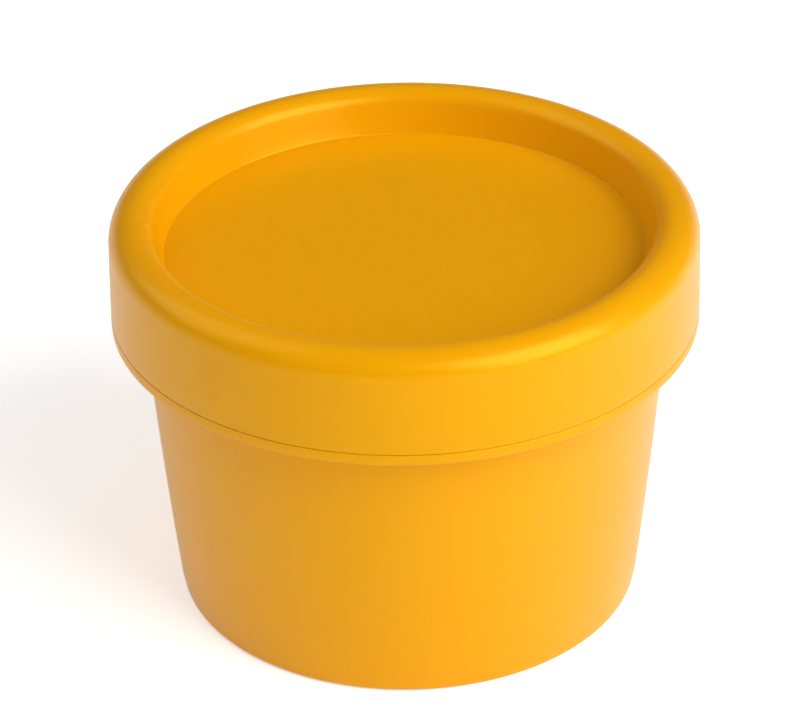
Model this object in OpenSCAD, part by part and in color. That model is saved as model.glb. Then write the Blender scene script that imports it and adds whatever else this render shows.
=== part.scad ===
// Screw-lid cosmetic jar of moulded plastic, in millimetres.
// The jar stands on the plane z = 0 and its axis is the z axis.
// Three pieces: the tapered jar body with its collar and threaded neck, the
// screw lid with a half-round rim and a recessed panel, and a dished sealing
// disc that lies on the neck under the lid.

/* [Jar body] */
// Outer diameter of the body at the base, before its edge is rounded
base_d = 55.8; // [53:0.2:57]
// Outer diameter of the body just under the collar
shoulder_d = 62.4; // [60:0.2:63]
// Height from the base to the underside of the collar
body_h = 36.2; // [30:0.2:50]
// How far the wall bows outwards halfway up
wall_bow = 0.2; // [0:0.05:0.4]
// Thickness of the side wall
body_wall = 1.5; // [1.2:0.05:1.8]
// Thickness of the floor
floor_t = 1.7; // [1.2:0.1:2.5]
// Radius of the rounded edge round the base
base_round = 1.1; // [0.5:0.1:2]
// Height of the foot ring that the jar stands on
foot_h = 0.8; // [0.4:0.1:1.2]
// Width of the flat of the foot ring
foot_w = 1.1; // [0.8:0.1:2]

/* [Collar and neck] */
// Diameter of the collar that the lid closes down to
collar_d = 70; // [69:0.1:70.6]
// Thickness of the collar
collar_t = 1.2; // [1:0.1:1.6]
// Outer diameter of the neck, without its thread
neck_d = 64.6; // [64.2:0.1:64.8]
// Thickness of the neck
neck_wall = 1.1; // [1:0.05:1.2]
// Height of the neck above the collar
neck_h = 8.8; // [8.6:0.1:8.9]

/* [Screw lid] */
// Outer diameter of the lid at its lower edge
lid_d = 70; // [69.8:0.1:71]
// How much narrower the radius of the skirt is at its top
skirt_draft = 0.15; // [0:0.05:0.3]
// Height of the lid from its lower edge to the crest of the rim
lid_h = 12.1; // [12:0.1:12.6]
// Thickness of the lid
lid_wall = 1.2; // [1.1:0.05:1.25]
// Open seam between the collar and the lid
seam = 0.2; // [0.1:0.05:0.3]
// Width of the rim's round from the crest to the skirt
rim_out_w = 3.15; // [3:0.05:3.3]
// Height of the rim's round from the skirt to the crest
rim_out_h = 2.9; // [2.6:0.1:3.2]
// Width of the rim's round from the crest to the panel's wall
rim_in_w = 3; // [2.9:0.05:3.1]
// Height of the rim's round from the crest to the panel's wall
rim_in_h = 4.3; // [4:0.1:4.4]
// Depth of the recessed panel below the crest
recess_h = 5.1; // [5:0.1:5.3]
// Radius of the corner between the panel and its wall
recess_round = 0.6; // [0.4:0.1:0.7]

/* [Thread] */
// Rise of the thread in one turn
lead = 4; // [3.8:0.1:4.2]
// Turns of the thread on the neck
neck_turns = 1.4; // [1:0.1:1.4]
// Turns of the thread inside the lid
lid_turns = 1.1; // [0.8:0.1:1.1]
// Height of the ridge above the neck, and above the skirt's inner wall
ridge_h = 0.9; // [0.7:0.05:0.95]
// Width of the ridge at its foot
ridge_foot = 1.8; // [1.4:0.1:1.9]
// Width of the ridge at its crest
ridge_crest = 0.9; // [0.6:0.1:1]

/* [Sealing disc] */
// Thickness of the disc's flange, and of its floor
disc_t = 0.7; // [0.5:0.05:0.8]
// Thickness of the disc's side wall
disc_wall = 0.55; // [0.45:0.05:0.6]
// Depth of the dish below the top of the neck
dish_h = 6.3; // [6:0.1:6.8]
// Length of the pull tongue
tongue_l = 15; // [12:0.5:18]
// Width of the pull tongue
tongue_w = 8; // [6:0.5:10]

/* [Hidden] */
$fn = 96;
plastic = [0.91, 0.61, 0.05];
milky = [0.93, 0.93, 0.9];
// Running gap between the disc and the neck
gap = 0.3;
// Gap that leaves the lid's seal bead just clear of the disc
seal_gap = 0.05;
// How far a piece that is joined to another reaches into it
sink = 0.35;

base_r = base_d/2;
shoulder_r = shoulder_d/2;
collar_r = collar_d/2;
collar_top = body_h + collar_t;
neck_r = neck_d/2;
neck_in_r = neck_r - neck_wall;
neck_top = collar_top + neck_h;
edge = 0.4;

lid_r = lid_d/2;
// Height of the lid's lower edge, and of the crest of its rim
lid_z = collar_top + seam;
crest_z = lid_z + lid_h;
skirt_top_r = lid_r - skirt_draft;
skirt_top_z = crest_z - rim_out_h;
crest_r = skirt_top_r - rim_out_w;
recess_r = crest_r - rim_in_w;
panel_z = crest_z - recess_h;
panel_under_z = panel_z - lid_wall;
skirt_in_r = lid_r - lid_wall;

disc_r = neck_r - 0.1;
plug_r = neck_in_r - gap;
plug_in_r = plug_r - disc_wall;
dish_z = neck_top - dish_h;
disc_top = neck_top + disc_t;

// Height of the neck ridge's middle where it starts
neck_ridge_z = collar_top + ridge_foot/2 + 0.7;
// The lid's ridge runs this far below the neck's, which leaves a slack of 0.25
ridge_drop = (ridge_foot + ridge_crest)/2 + 0.1;
// Height of the lid ridge's middle where it starts
lid_ridge_z = lid_z + ridge_foot/2 + 0.5;
// Angle at which the lid's ridge reaches that height, in the neck ridge's own turns
lid_ridge_turn = 360*(lid_ridge_z - neck_ridge_z + ridge_drop)/lead;
// Angle over which a ridge grows out of its wall
ridge_fade = 28;
steps_per_turn = 60;

// Points on an elliptic arc about [x, y], from angle a0 to a1
function arc(x, y, rx, ry, a0, a1, n = 8) =
    [for (i = [0:n]) let (a = a0 + (a1 - a0)*i/n) [x + rx*cos(a), y + ry*sin(a)]];

// Outer radius of the body at a height: a straight taper with a slight bow
function wall_r(z) = let (s = z/body_h) base_r + (shoulder_r - base_r)*s + 4*wall_bow*s*(1 - s);

// Points up the body's side, moved inwards by the given thickness
function side(z0, z1, inset, n = 10) =
    [for (i = [0:n]) let (z = z0 + (z1 - z0)*i/n) [wall_r(z) - inset, z]];

// A ridge of trapezium section that climbs by one lead in a turn and fades
// into its wall at both ends. It points inwards where tip_r is less than wall_r0.
module ridge(wall_r0, tip_r, start_z, start_turn, turns) {
    out = tip_r > wall_r0 ? 1 : -1;
    steps = ceil(turns*steps_per_turn);
    span = 360*turns;
    foot_r = wall_r0 - out*sink;
    low_r = wall_r0 - out*0.12;
    points = [for (i = [0:steps])
        let (
            t = span*i/steps,
            fade = min(1, t/ridge_fade, (span - t)/ridge_fade),
            r = low_r + (tip_r - low_r)*sin(90*fade),
            z = start_z + lead*t/360,
            a = start_turn + t
        )
        each [for (p = [
                [foot_r, z - out*ridge_foot/2], [r, z - out*ridge_crest/2],
                [r, z + out*ridge_crest/2], [foot_r, z + out*ridge_foot/2]
            ]) [p[0]*cos(a), p[0]*sin(a), p[1]]]
    ];
    walls = [for (i = [0:steps - 1]) for (k = [0:3])
        let (a = 4*i + k, b = 4*i + (k + 1)%4)
        each [[a, a + 4, b], [b, a + 4, b + 4]]
    ];
    last = 4*steps;
    polyhedron(
        points = points,
        faces = concat(
            [for (f = walls) [f[2], f[1], f[0]]],
            [[3, 2, 1, 0], [last, last + 1, last + 2, last + 3]]
        )
    );
}

// Half section of the jar body, from the middle of its underside round the
// outside to the neck and back down the inside
module body_section() {
    foot_r = base_r - base_round;
    foot_in_r = foot_r - foot_w;
    floor_z = foot_h + floor_t;
    floor_round = 2.5;
    step_z = collar_top + neck_wall + 0.5;
    inner_r = wall_r(floor_z + floor_round) - body_wall;
    polygon(concat(
        [[0, foot_h], [foot_in_r - foot_h, foot_h], [foot_in_r, 0]],
        arc(foot_r, base_round, base_round, base_round, -90, 0, 6),
        side(base_round + 1, body_h - edge, 0),
        arc(wall_r(body_h - edge) + edge, body_h - edge, edge, edge, 180, 90, 4),
        arc(collar_r - edge, body_h + edge, edge, edge, -90, 0, 4),
        arc(collar_r - edge, collar_top - edge, edge, edge, 0, 90, 4),
        [[neck_r, collar_top], [neck_r, neck_top - edge]],
        arc(neck_r - edge, neck_top - edge, edge, edge, 30, 90, 2),
        [[neck_in_r + 0.3, neck_top], [neck_in_r, neck_top - 0.3]],
        [[neck_in_r, step_z]],
        side(collar_top - 1.2, floor_z + floor_round, body_wall),
        arc(inner_r - floor_round, floor_z + floor_round, floor_round, floor_round, 0, -90, 6),
        [[0, floor_z]]
    ));
}

// Tapered body, collar and neck in one moulding, with the screw ridge on the
// neck and the mark of the moulding gate under the floor
module jar_body() {
    color(plastic) union() {
        rotate_extrude() body_section();
        ridge(neck_r, neck_r + ridge_h, neck_ridge_z, 0, neck_turns);
        translate([0, 0, foot_h - 0.4]) cylinder(r = 1.3, h = 0.6);
    }
}

// Half section of the lid: up the skirt, over the half-round rim and down to
// the panel, then back along the underside at the same thickness
module lid_section() {
    corner_z = panel_z + recess_round;
    bead_w = 0.8;
    under_round = recess_round + lid_wall;
    polygon(concat(
        arc(lid_r - edge, lid_z + edge, edge, edge, -90, 0, 4),
        arc(crest_r, skirt_top_z, rim_out_w, rim_out_h, 0, 90, 12),
        arc(crest_r, crest_z - rim_in_h, rim_in_w, rim_in_h, 96, 180, 13),
        arc(recess_r - recess_round, corner_z, recess_round, recess_round, 0, -90, 5),
        [[0, panel_z], [0, panel_under_z]],
        arc(recess_r - recess_round, corner_z, under_round, under_round, -90, 0, 8),
        arc(crest_r, crest_z - rim_in_h, rim_in_w - lid_wall, rim_in_h - lid_wall, 180, 114, 7),
        [[crest_r - bead_w/4, disc_top + seal_gap], [crest_r + bead_w/4, disc_top + seal_gap]],
        arc(crest_r, skirt_top_z, rim_out_w - lid_wall, rim_out_h - lid_wall, 66, 0, 6),
        [[skirt_in_r, lid_z + 0.8], [skirt_in_r + 0.4, lid_z]]
    ));
}

// Lid with its hollow rim, seal bead and the screw ridge inside the skirt
module screw_lid() {
    color(plastic) union() {
        rotate_extrude() lid_section();
        ridge(skirt_in_r, neck_r + gap, lid_ridge_z, lid_ridge_turn, lid_turns);
    }
}

// Half section of the sealing disc: flange, tapered side wall and dished floor
module disc_section() {
    taper = 0.4;
    round_r = 1.2;
    polygon(concat(
        [[0, dish_z]],
        arc(plug_r - taper - round_r, dish_z + round_r, round_r, round_r, -90, 0, 5),
        [[plug_r, neck_top - 0.6], [plug_r, neck_top], [disc_r - 0.15, neck_top]],
        [[disc_r, neck_top + 0.15], [disc_r, disc_top - 0.25], [disc_r - 0.25, disc_top]],
        [[plug_in_r + 0.45, disc_top], [plug_in_r, disc_top - 0.9]],
        arc(plug_r - taper - round_r, dish_z + round_r, round_r - disc_wall, round_r - disc_t, 0, -90, 5),
        [[0, dish_z + disc_t]]
    ));
}

// Flat tongue that is pulled to lift the disc out, joined to the floor at one
// end and thicker at the free end, where it is gripped
module pull_tongue() {
    lift = 0.7;
    tongue_t = 0.7;
    floor_top = dish_z + disc_t;
    tongue_z = floor_top + lift;
    root_x = -tongue_l/2;
    translate([root_x, -tongue_w/2, floor_top - sink]) cube([1.2, tongue_w, lift + tongue_t + sink]);
    translate([root_x, -tongue_w/2, tongue_z]) cube([tongue_l - tongue_w/2, tongue_w, tongue_t]);
    translate([tongue_l/2 - tongue_w/2, 0, tongue_z]) cylinder(d = tongue_w, h = tongue_t);
    for (k = [0:2]) {
        translate([tongue_l/2 - tongue_w/2 - 1.6*k, 0, tongue_z + tongue_t - 0.1])
            cube([0.6, tongue_w - 2.4, 0.7], center = true);
    }
}

// Sealing disc with its pull tongue
module sealing_disc() {
    color(milky) union() {
        rotate_extrude() disc_section();
        pull_tongue();
    }
}

jar_body();
screw_lid();
sealing_disc();
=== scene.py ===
"""Screw-lid cosmetic jar: the looks of its three pieces and the stage it stands on.

Every piece is a section, drawn as radius against height, carried round the jar's
axis. The screw ridges are a second term of the same function: they lift the wall
where a point of it lies near the helix.
"""

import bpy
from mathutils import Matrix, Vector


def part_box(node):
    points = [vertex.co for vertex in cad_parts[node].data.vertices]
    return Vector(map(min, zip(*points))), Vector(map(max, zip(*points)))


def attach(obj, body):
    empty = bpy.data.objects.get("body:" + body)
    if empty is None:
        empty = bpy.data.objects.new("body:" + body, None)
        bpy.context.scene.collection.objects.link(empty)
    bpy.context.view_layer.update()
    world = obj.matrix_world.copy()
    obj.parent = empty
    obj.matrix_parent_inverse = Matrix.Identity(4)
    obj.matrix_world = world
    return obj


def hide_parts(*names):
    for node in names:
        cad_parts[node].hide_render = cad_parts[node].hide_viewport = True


bl_info = {
    "name": "Cosmetic Jar",
    "version": (1, 0, 0),
    "blender": (4, 5, 0),
    "location": "View3D > Sidebar > Jar",
    "description": "Makes a moulded cosmetic jar with a screw lid and its sealing disc",
    "category": "Add Mesh",
}

import math

import bpy
import numpy as np
from bpy.props import (
    FloatProperty, FloatVectorProperty, IntProperty, PointerProperty,
)
from bpy.types import Operator, Panel, PropertyGroup
from mathutils import Matrix, Vector

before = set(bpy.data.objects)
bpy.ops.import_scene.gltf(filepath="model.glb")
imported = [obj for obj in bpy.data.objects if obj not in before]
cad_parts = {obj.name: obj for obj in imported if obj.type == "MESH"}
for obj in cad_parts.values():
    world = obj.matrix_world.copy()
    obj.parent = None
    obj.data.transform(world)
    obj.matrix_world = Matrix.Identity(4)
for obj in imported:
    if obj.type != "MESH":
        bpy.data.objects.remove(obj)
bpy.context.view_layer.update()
jar_low, jar_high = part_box("jar_body")
lid_low, lid_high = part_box("screw_lid")
disc_low, disc_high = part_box("sealing_disc")

MM = 0.001
PHOTO_WIDTH = 798
SENSOR = 36.0
NEAR_CLIP = 0.01
# The middle of the closed jar, which the camera and the lamps face.
MIDDLE = (0, 0, 25 * MM)

# How close to a wall a point of a section counts as lying on it.
ON_NECK = 1e-6
ON_SKIRT = 0.1 * MM
# Longest step along a section, on a threaded wall and elsewhere.
FINE_STEP = 0.12 * MM
COARSE_STEP = 3 * MM
# How high a ridge's foot starts above the collar and above the lid's lower edge,
# and the play between the two ridges.
NECK_RIDGE_RISE = 0.7 * MM
LID_RIDGE_RISE = 0.5 * MM
RIDGE_PLAY = 0.1 * MM
# Turns of a ridge that are searched, and how many of its end fades fill one turn.
RIDGE_TURNS = 4
FADES_IN_TURN = 12

# The moulded plastic: noise scales per metre, bump heights and depth of the glow.
PLASTIC_IOR = 1.7
CLOUD_SCALE, PEEL_SCALE, GRAIN_SCALE = 70.0, 240.0, 3200.0
PEEL_HEIGHT, GRAIN_HEIGHT, BUMP_STRENGTH = 0.012 * MM, 0.0025 * MM, 0.5
CLOUD_TINT, GLOSS_SPREAD = 0.975, 0.03
GLOW_DEPTH, GLOW_SHARES = 1.5 * MM, (1.0, 0.45, 0.1)
JAR_GLOW, DISC_GLOW = 0.3, 0.35
DISC_ROUGHNESS, DISC_SHEEN = 0.4, (1.0, 1.0, 1.0)
# Where each piece's noise starts, so that no two pieces carry the same clouds.
BODY_SEED, LID_SEED, DISC_SEED = 0.37, 0.5, 1.0

# The stage: the floor, the top of the white backdrop as the height of a unit
# direction, and the two square lamps.
FLOOR_SIZE, FLOOR_WHITE, FLOOR_OWN_LIGHT = 6.0, 0.96, 0.2
BACKDROP_TOP = 0.08
KEY_PLACE, KEY_SIZE = (0.491, -0.357, 0.466), 0.65
FILL_PLACE, FILL_SIZE = (-0.485, 0.13, 0.582), 0.6

# Small marks in the plastic, in millimetres: one end, the other end, half the
# width, and the height, which is below nought for a dent.
BODY_MARKS = (
    ((-9.65, -27.10, 8.00), (-9.25, -27.02, 6.05), 0.28, 0.05),
    ((8.85, -28.23, 16.35), (8.85, -28.23, 16.35), 0.22, 0.06),
    ((-12.79, -26.93, 18.85), (-12.09, -27.27, 18.95), 0.12, 0.02),
    ((-17.07, -25.60, 30.25), (-16.40, -26.04, 30.25), 0.15, -0.03),
    ((-1.07, -30.71, 29.75), (-0.43, -30.73, 29.75), 0.15, -0.02),
)
LID_MARKS = (
    ((-30.40, -2.02, 49.36), (-30.40, -2.02, 49.36), 0.8, 0.11),
)


def length(name, default, description):
    """A size in metres that a user may change."""
    return FloatProperty(name=name, description=description, default=default,
                         min=0.0, subtype="DISTANCE", unit="LENGTH", precision=5)


def factor(name, default, description, high=1.0):
    """A plain number from nought to its highest value."""
    return FloatProperty(name=name, description=description, default=default,
                         min=0.0, max=high)


def colour(name, default, description):
    """A colour in linear red, green and blue."""
    return FloatVectorProperty(name=name, description=description, default=default,
                               size=3, min=0.0, max=1.0, subtype="COLOR")


class JarBodySizes(PropertyGroup):
    """Sizes of the tapered body, its collar and its neck."""
    base_radius: length("Base radius", 27.9 * MM, "Radius of the body at its base")
    shoulder_radius: length("Shoulder radius", 31.2 * MM, "Radius just under the collar")
    shoulder_height: length("Shoulder height", 36.2 * MM, "Height of the collar's underside")
    bow: length("Bow", 0.2 * MM, "How far the wall bows out halfway up")
    wall: length("Wall", 1.5 * MM, "Thickness of the side wall")
    floor: length("Floor", 1.7 * MM, "Thickness of the floor")
    base_round: length("Base round", 0.8 * MM, "Radius of the edge round the base")
    foot_height: length("Foot height", 0.8 * MM, "Height of the foot ring")
    foot_width: length("Foot width", 1.1 * MM, "Width of the flat of the foot ring")
    collar: length("Collar", 1.35 * MM, "Thickness of the collar")
    neck_radius: length("Neck radius", 32.3 * MM, "Radius of the neck without its ridge")
    neck_wall: length("Neck wall", 1.1 * MM, "Thickness of the neck")


class LidSizes(PropertyGroup):
    """Sizes of the screw lid."""
    wall: length("Wall", 1.2 * MM, "Thickness of the lid")
    draft: length("Draft", 0.15 * MM, "How much narrower the skirt is at its top")
    rim_out_width: length("Outer width", 3.15 * MM, "Width from the crest to the skirt")
    rim_out_height: length("Outer height", 2.9 * MM, "Height of the round over the skirt")
    rim_in_width: length("Inner width", 2.2 * MM, "Width of the round over the recess")
    rim_in_height: length("Inner height", 2.0 * MM, "Height of the round over the recess")
    recess_slope: factor("Recess slope", 0.3, "How far the recess wall leans for its height")
    recess: length("Recess", 5.1 * MM, "Depth of the panel below the crest")
    recess_round: length("Recess round", 0.3 * MM, "Radius of the corner round the panel")


class ScrewSizes(PropertyGroup):
    """Sizes of the screw ridges on the neck and inside the lid."""
    lead: length("Lead", 4.0 * MM, "Rise in one turn")
    height: length("Height", 0.9 * MM, "Height of the ridge above the neck")
    foot: length("Foot", 1.8 * MM, "Width of the ridge at its foot")
    crest: length("Crest", 0.9 * MM, "Width of the ridge at its crest")
    neck_turns: factor("Neck turns", 1.4, "Turns of the ridge on the neck", 3.0)
    lid_turns: factor("Lid turns", 1.1, "Turns of the ridge in the lid", 3.0)


class DiscSizes(PropertyGroup):
    """Sizes of the sealing disc and its pull tongue."""
    sheet: length("Sheet", 0.7 * MM, "Thickness of the flange and of the floor")
    wall: length("Wall", 0.55 * MM, "Thickness of the side wall")
    gap: length("Gap", 0.3 * MM, "Gap between the side wall and the neck")
    taper: length("Taper", 0.4 * MM, "How much narrower the side wall is at its foot")
    tongue_length: length("Tongue length", 15.0 * MM, "Length of the pull tongue")
    tongue_width: length("Tongue width", 8.0 * MM, "Width of the pull tongue")


class Finish(PropertyGroup):
    """Colours and gloss of the two plastics."""
    jar_colour: colour("Jar and lid", (0.9, 0.393, 0.0), "Colour of the jar and the lid")
    jar_sheen: colour("Sheen", (1.0, 0.75, 0.1), "Tint of reflections that face the viewer")
    disc_colour: colour("Disc", (0.84, 0.83, 0.78), "Colour of the sealing disc")
    roughness: factor("Roughness", 0.3, "Roughness of the moulded plastic")
    sides: IntProperty(name="Sides", description="Points round each piece",
                       default=288, min=24, max=360)


class StageSettings(PropertyGroup):
    """Camera and light."""
    elevation: FloatProperty(name="Elevation", description="Camera's height as an angle",
                             default=math.radians(31.15), subtype="ANGLE")
    roll: FloatProperty(name="Roll", description="Turn of the camera about its view",
                        default=math.radians(-0.9), subtype="ANGLE")
    distance: length("Distance", 482.9 * MM, "Camera's distance from the jar's middle")
    focal_pixels: FloatProperty(name="Focal length in pixels", default=4000.0,
                                description="Focal length in pixels of the picture")
    right_shift: length("Right", 0.9 * MM, "How far the jar stands right of the view's axis")
    down_shift: length("Down", 3.02 * MM, "How far the jar stands below the view's axis")
    world: factor("World", 0.35, "Level of the light from all round", 4.0)
    ceiling: factor("Ceiling", 0.02, "Level of the dark ceiling in reflections", 4.0)
    key: factor("Key", 5.5, "Power of the key light, right and in front, in watts", 50.0)
    fill: factor("Fill", 1.2, "Power of the fill light, left and behind, in watts", 50.0)


def arc(r, z, width, height, start, end, count):
    """Points of an ellipse about (r, z): r + width cos a, z + height sin a, with the
    angle a going from start to end in degrees."""
    a = np.radians(np.linspace(start, end, count))
    return np.column_stack([r + width * np.cos(a), z + height * np.sin(a)])


def rounded(corners, steps=6):
    """A section with its corners rounded. Each row of corners is radius, height and
    the round's own radius q. With u and v the directions to the two neighbours and
    w the angle between them, the round is the arc about p + (u + v) q / (|u + v|
    sin(w/2)) that touches both sides, q / tan(w/2) away from the corner p."""
    rows = np.asarray(corners, float)
    p, q = rows[:, :2], rows[:, 2]
    inner, rad = p[1:-1], q[1:-1]
    u, v = p[:-2] - inner, p[2:] - inner
    u /= np.linalg.norm(u, axis=1)[:, None]
    v /= np.linalg.norm(v, axis=1)[:, None]
    half = np.arccos(np.clip((u * v).sum(1), -1, 1)) / 2
    sweep = np.pi - 2 * half
    bisector = u + v
    bisector /= np.maximum(np.linalg.norm(bisector, axis=1), 1e-9)[:, None]
    centre = inner + bisector * (rad / np.sin(half))[:, None]
    from_u = inner + u * (rad / np.tan(half))[:, None] - centre
    from_v = inner + v * (rad / np.tan(half))[:, None] - centre
    s = np.linspace(0, 1, steps)[None, :, None]
    w = sweep[:, None, None]
    safe = np.maximum(np.sin(w), 1e-6)
    curve = centre[:, None] + (np.sin((1 - s) * w) * from_u[:, None]
                               + np.sin(s * w) * from_v[:, None]) / safe
    curve = np.where((rad < 1e-7)[:, None, None], inner[:, None], curve)
    path = np.vstack([p[:1], curve.reshape(-1, 2), p[-1:]])
    keep = np.r_[True, np.linalg.norm(np.diff(path, axis=0), axis=1) > 1e-7]
    return path[keep]


def plain(points):
    """The points of a curve as corners with no round of their own."""
    return [(r, z, 0.0) for r, z in points]


def divided(path, longest):
    """The path with each side cut into equal pieces no longer than its own entry in
    longest."""
    start, side = path[:-1], np.diff(path, axis=0)
    count = np.ceil(np.linalg.norm(side, axis=1) / longest).astype(int)
    count = np.maximum(count, 1)
    owner = np.repeat(np.arange(len(count)), count)
    first = np.cumsum(count) - count
    t = (np.arange(count.sum()) - first[owner]) / count[owner]
    return np.vstack([start[owner] + t[:, None] * side[owner], path[-1:]])


def smooth(t):
    """3 t^2 - 2 t^3 between nought and one, level outside."""
    t = np.clip(t, 0, 1)
    return t * t * (3 - 2 * t)


def ridge(z, turn, start_z, start_turn, turns, screw):
    """How far a screw ridge stands out, from 0 to 1, at height z and angle turn in
    whole turns. Its middle climbs as start_z + lead t, with t the turns since its
    start. Across, it falls from 1 at half its crest width to 0 at half its foot
    width, and along, it fades over a twelfth of a turn at both ends."""
    t = (turn - start_turn) % 1.0 + np.arange(RIDGE_TURNS)[:, None, None]
    along = np.minimum(t, turns - t) * FADES_IN_TURN
    off = np.abs(z - (start_z + screw.lead * t))
    across = (screw.foot / 2 - off) / ((screw.foot - screw.crest) / 2)
    return (smooth(along) * smooth(across)).max(axis=0)


def neck_ridge_start(jar, screw):
    """Height of the middle of the neck's ridge where it starts: the collar's top,
    half the ridge's foot and its rise above the collar."""
    return jar.shoulder_height + jar.collar + screw.foot / 2 + NECK_RIDGE_RISE


def revolve(path, sides, lift=None, stretch=(0.0, 0.0)):
    """Vertices and faces of a closed surface of revolution. Point (i, j) is
    (R cos a, R sin a, z) with a = 2 pi j / sides and R = r_i + lift_ij. The path
    starts and ends on the axis, where a row shrinks to one point. A stretch moves
    each half outwards from the axis, which turns a circle into a stadium."""
    a = np.linspace(0, 2 * np.pi, sides, endpoint=False)
    r = path[1:-1, 0][:, None] + (0 if lift is None else lift[1:-1])
    x = r * np.cos(a) + stretch[0] * np.sign(np.round(np.cos(a), 9))
    y = r * np.sin(a) + stretch[1] * np.sign(np.round(np.sin(a), 9))
    z = np.broadcast_to(path[1:-1, 1][:, None], x.shape)
    ring = np.stack([x, y, z], axis=-1).reshape(-1, 3)
    ends = np.array([[0, 0, path[0, 1]], [0, 0, path[-1, 1]]])
    verts = np.vstack([ring, ends])
    rows = len(path) - 2
    i, j = np.meshgrid(np.arange(rows - 1), np.arange(sides), indexing="ij")
    k = (j + 1) % sides
    quads = np.stack([i * sides + j, i * sides + k, (i + 1) * sides + k,
                      (i + 1) * sides + j], axis=-1).reshape(-1, 4)
    j = np.arange(sides)
    k = (j + 1) % sides
    low, high = len(verts) - 2, len(verts) - 1
    top = (rows - 1) * sides
    fans = np.vstack([np.stack([np.full(sides, low), k, j], axis=1),
                      np.stack([np.full(sides, high), top + j, top + k], axis=1)])
    return verts, quads, fans


def piece(name, parts, material, body, node):
    """One mesh object of one or more closed parts, placed at the origin, that rides
    on a body and stands for a node."""
    verts, faces, start = [], [], 0
    for v, quads, fans in parts:
        verts.append(v)
        faces += (quads + start).tolist() + (fans + start).tolist()
        start += len(v)
    mesh = bpy.data.meshes.new(name)
    mesh.from_pydata(np.vstack(verts), [], faces)
    mesh.polygons.foreach_set("use_smooth", np.ones(len(mesh.polygons), bool))
    mesh.validate()
    mesh.update()
    mesh.materials.append(material)
    obj = bpy.data.objects.new(name, mesh)
    bpy.context.scene.collection.objects.link(obj)
    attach(obj, body)
    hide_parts(node)


def body_radius(z, jar):
    """Radius of the body at a height: a straight taper from base to shoulder, plus
    bow times 4 s (1 - s), with s the share of the shoulder's height."""
    s = z / jar.shoulder_height
    taper = jar.base_radius + (jar.shoulder_radius - jar.base_radius) * s
    return taper + 4 * jar.bow * s * (1 - s)


def body_side(low, high, inset, jar, count=24):
    """Points up the body's side between two heights, moved inwards by inset."""
    z = np.linspace(low, high, count)
    return np.column_stack([body_radius(z, jar) - inset, z])


def jar_section(jar):
    """The body's half section, from under the floor round the outside and back
    down the inside."""
    foot_r = jar.base_radius - jar.base_round
    foot_in = foot_r - jar.foot_width
    floor_z = jar.foot_height + jar.floor
    collar_r = jar_high.x
    collar_top = jar.shoulder_height + jar.collar
    neck_top = jar_high.z
    neck_in = jar.neck_radius - jar.neck_wall
    gate_r, gate_drop, gate_slope, gate_edge = 1.3 * MM, 0.4 * MM, 0.1 * MM, 0.15 * MM
    foot_fillet, foot_edge, floor_round = 0.6 * MM, 0.2 * MM, 2.5 * MM
    collar_low_edge, collar_top_edge, neck_fillet = 0.2 * MM, 0.12 * MM, 0.25 * MM
    edge, mouth_edge, step_round, bend_round = 0.4 * MM, 0.3 * MM, 0.8 * MM, 1.5 * MM
    step_rise, bend_drop, side_drop, margin = 0.5 * MM, 1.2 * MM, 3 * MM, 1 * MM
    gate_z = jar.foot_height - gate_drop
    step_z = collar_top + jar.neck_wall + step_rise
    bend_z = collar_top - bend_drop
    inner_r = body_radius(floor_z + floor_round, jar) - jar.wall
    base = arc(foot_r, jar.base_round, jar.base_round, jar.base_round, -90, 0, 12)
    hollow = arc(inner_r - floor_round, floor_z + floor_round, floor_round,
                 floor_round, 0, -90, 12)
    return rounded(
        [(0, gate_z, 0), (gate_r, gate_z, gate_edge),
         (gate_r + gate_slope, jar.foot_height, gate_slope),
         (foot_in - jar.foot_height, jar.foot_height, foot_fillet), (foot_in, 0, foot_edge)]
        + plain(base)
        + plain(body_side(jar.base_round + margin, jar.shoulder_height - margin, 0, jar))
        + [(body_radius(jar.shoulder_height, jar), jar.shoulder_height, edge),
           (collar_r, jar.shoulder_height, collar_low_edge),
           (collar_r, collar_top, collar_top_edge),
           (jar.neck_radius, collar_top, neck_fillet), (jar.neck_radius, neck_top, edge),
           (neck_in, neck_top, mouth_edge), (neck_in, step_z, step_round),
           (body_radius(bend_z, jar) - jar.wall, bend_z, bend_round)]
        + plain(body_side(collar_top - side_drop, floor_z + floor_round, jar.wall, jar))
        + plain(hollow) + [(0, floor_z, 0)]
    )


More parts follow.
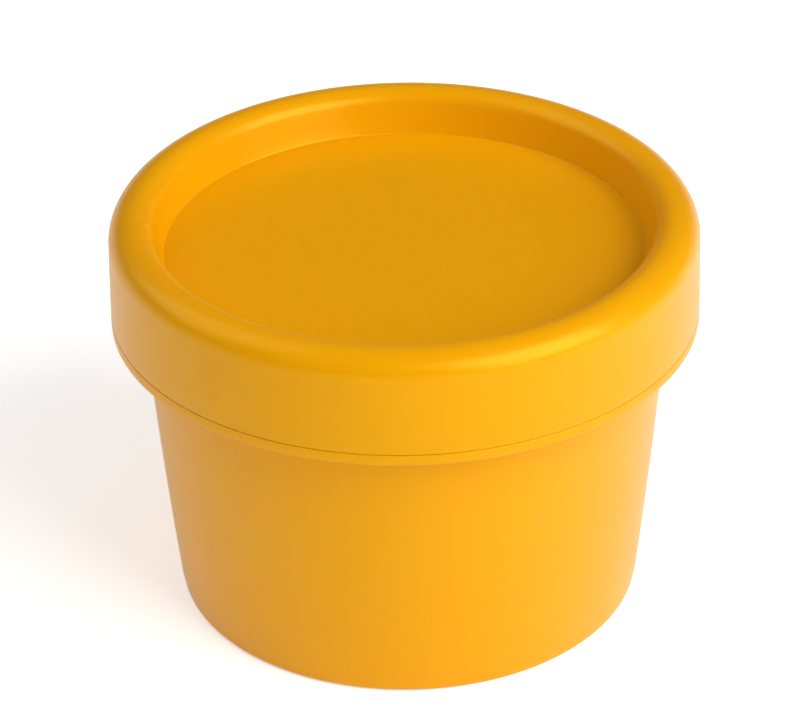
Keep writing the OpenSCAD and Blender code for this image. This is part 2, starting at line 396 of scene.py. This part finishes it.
def lid_section(lid):
    """The lid's half section, from the middle of its underside out past the seal
    bead and down inside the skirt, then up outside and over the rim to the panel.
    Angles are in degrees round the rim's crest, which is at 90."""
    bottom, crest_z, skirt_r = lid_low.z, lid_high.z, lid_high.x
    crest_r = skirt_r - lid.draft - lid.rim_out_width
    over_skirt, over_recess = crest_z - lid.rim_out_height, crest_z - lid.rim_in_height
    panel_z = crest_z - lid.recess
    slope = lid.recess_slope
    past_crest, bead_inner, bead_outer = 92, 114, 66
    lean = 90 + math.degrees(math.atan2(lid.rim_in_width, lid.rim_in_height * slope))
    shoulder = arc(crest_r, over_recess, lid.rim_in_width, lid.rim_in_height, past_crest, lean, 24)
    recess_r = shoulder[-1, 0] - slope * (shoulder[-1, 1] - panel_z)
    under_r = recess_r + lid.wall * (math.hypot(1, slope) - slope)
    skirt_in = skirt_r - lid.wall
    bead, bead_edge, seal_gap = 0.2 * MM, 0.1 * MM, 0.05 * MM
    mouth_height, mouth_flare, mouth_round, edge = 0.8 * MM, 0.4 * MM, 0.3 * MM, 0.12 * MM
    bead_z = disc_high.z + seal_gap
    return rounded(
        [(0, panel_z - lid.wall, 0),
         (under_r, panel_z - lid.wall, lid.recess_round + lid.wall)]
        + plain(arc(crest_r, over_recess, lid.rim_in_width - lid.wall,
                    lid.rim_in_height - lid.wall, lean, bead_inner, 16))
        + [(crest_r - bead, bead_z, bead_edge), (crest_r + bead, bead_z, bead_edge)]
        + plain(arc(crest_r, over_skirt, lid.rim_out_width - lid.wall,
                    lid.rim_out_height - lid.wall, bead_outer, 0, 14))
        + [(skirt_in, bottom + mouth_height, mouth_round),
           (skirt_in + mouth_flare, bottom, edge), (skirt_r, bottom, edge)]
        + plain(arc(crest_r, over_skirt, lid.rim_out_width, lid.rim_out_height, 0, 90, 26))
        + plain(shoulder)
        + [(recess_r, panel_z, lid.recess_round), (0, panel_z, 0)]
    )


def disc_section(jar, disc):
    """The disc's half section, from under its floor round the flange and back."""
    top, foot = disc_high.z, disc_low.z
    neck_top = top - disc.sheet
    plug = jar.neck_radius - jar.neck_wall - disc.gap
    plug_in = plug - disc.wall
    flange = disc_high.x
    floor_z = foot + disc.sheet
    plug_lead, lip_flare, lip_drop = 0.6 * MM, 0.45 * MM, 0.9 * MM
    dish_round, floor_round, bend = 1.2 * MM, 0.6 * MM, 0.5 * MM
    edge, low_edge, nook, round_steps = 0.25 * MM, 0.15 * MM, 0.08 * MM, 9
    return rounded([
        (0, foot, 0), (plug - disc.taper, foot, dish_round), (plug, neck_top - plug_lead, bend),
        (plug, neck_top, nook), (flange, neck_top, low_edge), (flange, top, edge),
        (plug_in + lip_flare, top, edge), (plug_in, top - lip_drop, bend),
        (plug_in - disc.taper, floor_z, floor_round), (0, floor_z, 0),
    ], round_steps)


def node(tree, kind, place, **inputs):
    """A shader node with its sockets set by name, underscores for spaces."""
    made = tree.nodes.new(kind)
    made.location = place
    for key, value in inputs.items():
        made.inputs[key.replace("_", " ")].default_value = value
    return made


def added(tree, first, second, kind="ADD"):
    """The sum of two sockets, or another of their combinations."""
    made = tree.nodes.new("ShaderNodeMath")
    made.operation = kind
    tree.links.new(first, made.inputs[0])
    tree.links.new(second, made.inputs[1])
    return made.outputs["Value"]


def mark_heights(tree, spot, marks):
    """Height of the marks at a spot. A mark lies where the distances to its two ends
    add up to less than 2 sqrt(c^2 + w^2), with c half its length and w half its
    width, and its height fades smoothly to nought there."""
    total = None
    for start, end, width, height in marks:
        reach = math.dist(start, end) / 2
        away = []
        for place in (start, end):
            gap = tree.nodes.new("ShaderNodeVectorMath")
            gap.operation = "DISTANCE"
            gap.inputs[1].default_value = [v * MM for v in place]
            tree.links.new(spot, gap.inputs[0])
            away.append(gap.outputs["Value"])
        fade = node(tree, "ShaderNodeMapRange", (-700, -600), From_Min=2 * reach * MM,
                    From_Max=2 * math.hypot(reach, width) * MM, To_Min=height * MM, To_Max=0.0)
        fade.interpolation_type = "SMOOTHSTEP"
        tree.links.new(added(tree, *away), fade.inputs["Value"])
        result = fade.outputs["Result"]
        total = result if total is None else added(tree, total, result)
    return total


def moulded(name, tint, sheen, roughness, glow, seed, marks=()):
    """Moulded polypropylene: satin, a little translucent, with a fine grain, a faint
    orange peel, cloudy colour and a few small marks."""
    material = bpy.data.materials.new(name)
    material.use_nodes = True
    tree = material.node_tree
    link = tree.links.new
    shader = tree.nodes["Principled BSDF"]
    shader.inputs["IOR"].default_value = PLASTIC_IOR
    shader.inputs["Specular Tint"].default_value = (*sheen, 1)
    shader.inputs["Subsurface Weight"].default_value = glow
    shader.inputs["Subsurface Radius"].default_value = GLOW_SHARES
    shader.inputs["Subsurface Scale"].default_value = GLOW_DEPTH
    spot = tree.nodes.new("ShaderNodeTexCoord")
    shift = node(tree, "ShaderNodeMapping", (-900, 0))
    shift.inputs["Location"].default_value = (seed, 2 * seed, 3 * seed)
    link(spot.outputs["Object"], shift.inputs["Vector"])

    cloud = node(tree, "ShaderNodeTexNoise", (-700, 200), Scale=CLOUD_SCALE, Detail=3.0)
    grain = node(tree, "ShaderNodeTexNoise", (-700, -200), Scale=GRAIN_SCALE, Detail=2.0)
    peel = node(tree, "ShaderNodeTexNoise", (-700, -400), Scale=PEEL_SCALE, Detail=2.0)
    for texture in (cloud, grain, peel):
        link(shift.outputs["Vector"], texture.inputs["Vector"])

    tone = tree.nodes.new("ShaderNodeMix")
    tone.data_type = "RGBA"
    deeper = tuple(CLOUD_TINT * c for c in tint)
    tone.inputs[6].default_value = (*deeper, 1)
    tone.inputs[7].default_value = (*tint, 1)
    link(cloud.outputs["Fac"], tone.inputs["Factor"])
    link(tone.outputs[2], shader.inputs["Base Color"])

    gloss = node(tree, "ShaderNodeMapRange", (-300, -100), From_Min=0.0, From_Max=1.0,
                 To_Min=roughness - GLOSS_SPREAD, To_Max=roughness + GLOSS_SPREAD)
    link(cloud.outputs["Fac"], gloss.inputs["Value"])
    link(gloss.outputs["Result"], shader.inputs["Roughness"])

    broad = node(tree, "ShaderNodeBump", (-300, -400), Strength=BUMP_STRENGTH,
                 Distance=PEEL_HEIGHT)
    fine = node(tree, "ShaderNodeBump", (-150, -300), Strength=BUMP_STRENGTH,
                Distance=GRAIN_HEIGHT)
    link(peel.outputs["Fac"], broad.inputs["Height"])
    link(grain.outputs["Fac"], fine.inputs["Height"])
    link(broad.outputs["Normal"], fine.inputs["Normal"])
    normal = fine.outputs["Normal"]
    if marks:
        worn = node(tree, "ShaderNodeBump", (0, -300), Strength=1.0, Distance=1.0)
        link(mark_heights(tree, spot.outputs["Object"], marks), worn.inputs["Height"])
        link(normal, worn.inputs["Normal"])
        normal = worn.outputs["Normal"]
    link(normal, shader.inputs["Normal"])
    return material


class JAR_OT_body(Operator):
    """Makes the tapered body with its collar and threaded neck"""
    bl_idname = "jar.body"
    bl_label = "Jar Body"

    def execute(self, context):
        jar, screw = context.scene.jar_body, context.scene.jar_screw
        finish = context.scene.jar_finish
        path = jar_section(jar)
        middle = (path[:-1] + path[1:]) / 2
        on_neck = np.abs(middle[:, 0] - jar.neck_radius) < ON_NECK
        path = divided(path, np.where(on_neck, FINE_STEP, COARSE_STEP))
        turn = np.arange(finish.sides) / finish.sides
        z = path[:, 1][:, None]
        start_z = neck_ridge_start(jar, screw)
        wall = np.abs(path[:, 0] - jar.neck_radius) < ON_NECK
        lift = screw.height * ridge(z, turn[None], start_z, 0.0, screw.neck_turns, screw)
        lift = lift * wall[:, None]
        plastic = moulded("jar_plastic", finish.jar_colour, finish.jar_sheen, finish.roughness,
                          JAR_GLOW, BODY_SEED, BODY_MARKS)
        piece("jar_body_moulding", [revolve(path, finish.sides, lift)], plastic,
              "jar", "jar_body")
        return {"FINISHED"}


class JAR_OT_lid(Operator):
    """Makes the screw lid with its half-round rim and recessed panel"""
    bl_idname = "jar.lid"
    bl_label = "Screw Lid"

    def execute(self, context):
        jar, lid = context.scene.jar_body, context.scene.jar_lid
        screw, finish = context.scene.jar_screw, context.scene.jar_finish
        path = lid_section(lid)
        skirt_r, bottom = lid_high.x, lid_low.z
        mouth_clear, tip_gap = 1.1 * MM, 0.3 * MM
        wall_low = (skirt_r - lid.wall, bottom + mouth_clear)
        wall_high = (skirt_r - lid.draft - lid.wall, lid_high.z - lid.rim_out_height)
        middle = (path[:-1] + path[1:]) / 2
        line = np.interp(middle[:, 1], [wall_low[1], wall_high[1]], [wall_low[0], wall_high[0]])
        inside = (middle[:, 1] > wall_low[1]) & (middle[:, 1] < wall_high[1])
        on_wall = inside & (np.abs(middle[:, 0] - line) < ON_SKIRT)
        path = divided(path, np.where(on_wall, FINE_STEP, COARSE_STEP))
        turn = np.arange(finish.sides) / finish.sides
        z = path[:, 1][:, None]
        start_z = bottom + screw.foot / 2 + LID_RIDGE_RISE
        drop = (screw.foot + screw.crest) / 2 + RIDGE_PLAY
        start_turn = (start_z - neck_ridge_start(jar, screw) + drop) / screw.lead
        tip = jar.neck_radius + tip_gap
        line = np.interp(path[:, 1], [wall_low[1], wall_high[1]], [wall_low[0], wall_high[0]])
        wall = np.abs(path[:, 0] - line) < ON_SKIRT
        lift = ridge(z, turn[None], start_z, start_turn, screw.lid_turns, screw)
        lift = -lift * ((path[:, 0] - tip) * wall)[:, None]
        plastic = moulded("lid_plastic", finish.jar_colour, finish.jar_sheen, finish.roughness,
                          JAR_GLOW, LID_SEED, LID_MARKS)
        piece("screw_lid_moulding", [revolve(path, finish.sides, lift)], plastic,
              "lid", "screw_lid")
        return {"FINISHED"}


class JAR_OT_disc(Operator):
    """Makes the dished sealing disc with its pull tongue"""
    bl_idname = "jar.disc"
    bl_label = "Sealing Disc"

    def execute(self, context):
        jar, disc = context.scene.jar_body, context.scene.jar_disc
        finish = context.scene.jar_finish
        path = disc_section(jar, disc)
        floor_z = disc_low.z + disc.sheet
        half_width = disc.tongue_width / 2
        tongue_low, tongue_high, tongue_edge = 0.7 * MM, 1.4 * MM, 0.2 * MM
        sink, root_half, root_inset = 0.3 * MM, 0.6 * MM, 0.9 * MM
        grip_half, grip_rise, grip_edge, grip_pitch = 0.3 * MM, 0.25 * MM, 0.15 * MM, 1.6 * MM
        ridge_margin, grips, tongue_sides, ridge_sides = 1.6 * MM, 3, 96, 32
        low, high = floor_z + tongue_low, floor_z + tongue_high
        plate = rounded([(0, low, 0), (half_width, low, tongue_edge),
                         (half_width, high, tongue_edge), (0, high, 0)])
        root = rounded([(0, floor_z - sink, 0), (root_half, floor_z - sink, 0),
                        (root_half, low + sink, 0), (0, low + sink, 0)])
        grip = rounded([(0, high - sink, 0), (grip_half, high - sink, 0),
                        (grip_half, high + grip_rise, grip_edge), (0, high + grip_rise, 0)])
        reach = disc.tongue_length / 2 - half_width
        ridge_reach = half_width - ridge_margin
        parts = [revolve(path, finish.sides), revolve(plate, tongue_sides, stretch=(reach, 0))]
        ridges = [(root, -disc.tongue_length / 2 + root_inset)]
        ridges += [(grip, reach - grip_pitch * k) for k in range(grips)]
        for section, x in ridges:
            verts, quads, fans = revolve(section, ridge_sides, stretch=(0, ridge_reach))
            parts.append((verts + (x, 0, 0), quads, fans))
        plastic = moulded("disc_plastic", finish.disc_colour, DISC_SHEEN, DISC_ROUGHNESS,
                          DISC_GLOW, DISC_SEED)
        piece("sealing_disc_moulding", parts, plastic, "disc", "sealing_disc")
        return {"FINISHED"}


def area_light(name, place, size, watts):
    """A square soft white light at place that faces the jar's middle."""
    lamp = bpy.data.lights.new(name, "AREA")
    lamp.size = size
    lamp.energy = watts
    obj = bpy.data.objects.new(name, lamp)
    obj.location = place
    aim = Vector(MIDDLE) - Vector(place)
    obj.rotation_euler = aim.to_track_quat("-Z", "Y").to_euler()
    bpy.context.scene.collection.objects.link(obj)


def seen_factor(tree):
    """One for camera, glossy and transmission rays, nought for the rest."""
    path = tree.nodes.new("ShaderNodeLightPath")
    seen = added(tree, path.outputs["Is Camera Ray"], path.outputs["Is Glossy Ray"], "MAXIMUM")
    return path, added(tree, seen, path.outputs["Is Transmission Ray"], "MAXIMUM")


def white_floor():
    """Matt white floor whose lit parts the camera sees as white, and which keeps
    the jar's shadow: a little light of its own is added for the rays that see it."""
    material = bpy.data.materials.new("studio_white")
    material.use_nodes = True
    tree = material.node_tree
    tree.nodes.clear()
    out = tree.nodes.new("ShaderNodeOutputMaterial")
    matt = tree.nodes.new("ShaderNodeBsdfDiffuse")
    matt.inputs["Color"].default_value = (FLOOR_WHITE, FLOOR_WHITE, FLOOR_WHITE, 1)
    own = tree.nodes.new("ShaderNodeEmission")
    path, seen = seen_factor(tree)
    level = tree.nodes.new("ShaderNodeMath")
    level.operation = "MULTIPLY"
    level.inputs[1].default_value = FLOOR_OWN_LIGHT
    tree.links.new(added(tree, path.outputs["Is Camera Ray"], seen), level.inputs[0])
    tree.links.new(level.outputs["Value"], own.inputs["Strength"])
    add = tree.nodes.new("ShaderNodeAddShader")
    tree.links.new(matt.outputs["BSDF"], add.inputs[0])
    tree.links.new(own.outputs["Emission"], add.inputs[1])
    tree.links.new(add.outputs["Shader"], out.inputs["Surface"])
    return material


def studio_world(level, ceiling):
    """Even light from all round. The camera sees white, and so do glossy and
    transmission rays near the horizon, where the white backdrop stands. Higher up
    those rays see the dark ceiling."""
    world = bpy.data.worlds.new("studio")
    bpy.context.scene.world = world
    world.use_nodes = True
    tree = world.node_tree
    link = tree.links.new
    even = tree.nodes["Background"]
    even.inputs["Color"].default_value = (level, level, level, 1)
    white = tree.nodes.new("ShaderNodeBackground")
    white.inputs["Color"].default_value = (1, 1, 1, 1)
    dark = tree.nodes.new("ShaderNodeBackground")
    dark.inputs["Color"].default_value = (ceiling, ceiling, ceiling, 1)
    path, seen = seen_factor(tree)
    spot = tree.nodes.new("ShaderNodeTexCoord")
    axes = tree.nodes.new("ShaderNodeSeparateXYZ")
    link(spot.outputs["Generated"], axes.inputs["Vector"])
    low = tree.nodes.new("ShaderNodeMapRange")
    low.inputs["From Min"].default_value = BACKDROP_TOP
    low.inputs["From Max"].default_value = 0.0
    link(axes.outputs["Z"], low.inputs["Value"])
    backdrop = added(tree, seen, low.outputs["Result"], "MULTIPLY")
    either = added(tree, path.outputs["Is Camera Ray"], backdrop, "MAXIMUM")
    above = tree.nodes.new("ShaderNodeMixShader")
    link(seen, above.inputs["Fac"])
    link(even.outputs["Background"], above.inputs[1])
    link(dark.outputs["Background"], above.inputs[2])
    mix = tree.nodes.new("ShaderNodeMixShader")
    link(either, mix.inputs["Fac"])
    link(above.outputs["Shader"], mix.inputs[1])
    link(white.outputs["Background"], mix.inputs[2])
    link(mix.outputs["Shader"], tree.nodes["World Output"].inputs["Surface"])


def photo_camera(stage):
    """The photograph's camera. It looks at the jar's middle from the front and
    above, is rolled a little, and its axis passes left of and above that middle."""
    middle = Vector(MIDDLE)
    e, roll = stage.elevation, stage.roll
    back = Vector((0, -math.cos(e), math.sin(e)))
    right = Vector((1, 0, 0))
    up = back.cross(right)
    x_axis = right * math.cos(roll) + up * math.sin(roll)
    y_axis = up * math.cos(roll) - right * math.sin(roll)
    place = middle + back * stage.distance - x_axis * stage.right_shift + y_axis * stage.down_shift
    data = bpy.data.cameras.new("photo_camera")
    data.sensor_width = SENSOR
    data.lens = SENSOR * stage.focal_pixels / PHOTO_WIDTH
    data.clip_start = NEAR_CLIP
    obj = bpy.data.objects.new("photo_camera", data)
    obj.matrix_world = Matrix((
        (x_axis.x, y_axis.x, back.x, place.x), (x_axis.y, y_axis.y, back.y, place.y),
        (x_axis.z, y_axis.z, back.z, place.z), (0, 0, 0, 1),
    ))
    bpy.context.scene.collection.objects.link(obj)
    bpy.context.scene.camera = obj


class JAR_OT_stage(Operator):
    """Makes the white floor, the lights and the camera"""
    bl_idname = "jar.stage"
    bl_label = "Stage"

    def execute(self, context):
        stage = context.scene.jar_stage
        bpy.ops.mesh.primitive_plane_add(size=FLOOR_SIZE, location=(0, 0, 0))
        floor = context.object
        floor.name = "studio_floor"
        floor.data.materials.append(white_floor())
        studio_world(stage.world, stage.ceiling)
        area_light("key", KEY_PLACE, KEY_SIZE, stage.key)
        area_light("fill", FILL_PLACE, FILL_SIZE, stage.fill)
        photo_camera(stage)
        context.scene.view_settings.view_transform = "Standard"
        return {"FINISHED"}


class JAR_PT_panel(Panel):
    """Lists the pieces and their sizes in the sidebar"""
    bl_label = "Cosmetic Jar"
    bl_idname = "JAR_PT_panel"
    bl_space_type = "VIEW_3D"
    bl_region_type = "UI"
    bl_category = "Jar"

    def draw(self, context):
        for title, group, operator in PANEL_ROWS:
            box = self.layout.box()
            box.label(text=title)
            if operator:
                box.operator(operator)
            settings = getattr(context.scene, group)
            for key in settings.__annotations__:
                box.prop(settings, key)


PANEL_ROWS = (
    ("Jar body", "jar_body", "jar.body"),
    ("Screw lid", "jar_lid", "jar.lid"),
    ("Screw ridges", "jar_screw", None),
    ("Sealing disc", "jar_disc", "jar.disc"),
    ("Finish", "jar_finish", None),
    ("Stage", "jar_stage", "jar.stage"),
)
GROUPS = {
    "jar_body": JarBodySizes, "jar_lid": LidSizes, "jar_screw": ScrewSizes,
    "jar_disc": DiscSizes, "jar_finish": Finish, "jar_stage": StageSettings,
}
CLASSES = (*GROUPS.values(), JAR_OT_body, JAR_OT_lid, JAR_OT_disc, JAR_OT_stage, JAR_PT_panel)


def register():
    """Adds the classes, and a group of settings to the scene for each of GROUPS."""
    for cls in CLASSES:
        bpy.utils.register_class(cls)
    for name, cls in GROUPS.items():
        setattr(bpy.types.Scene, name, PointerProperty(type=cls))


def unregister():
    """Takes the settings and the classes away again, in the opposite order."""
    for name in GROUPS:
        delattr(bpy.types.Scene, name)
    for cls in reversed(CLASSES):
        bpy.utils.unregister_class(cls)


def main():
    register()
    bpy.ops.jar.stage()
    bpy.ops.jar.body()
    bpy.ops.jar.lid()
    bpy.ops.jar.disc()


if __name__ == "__main__":
    main()
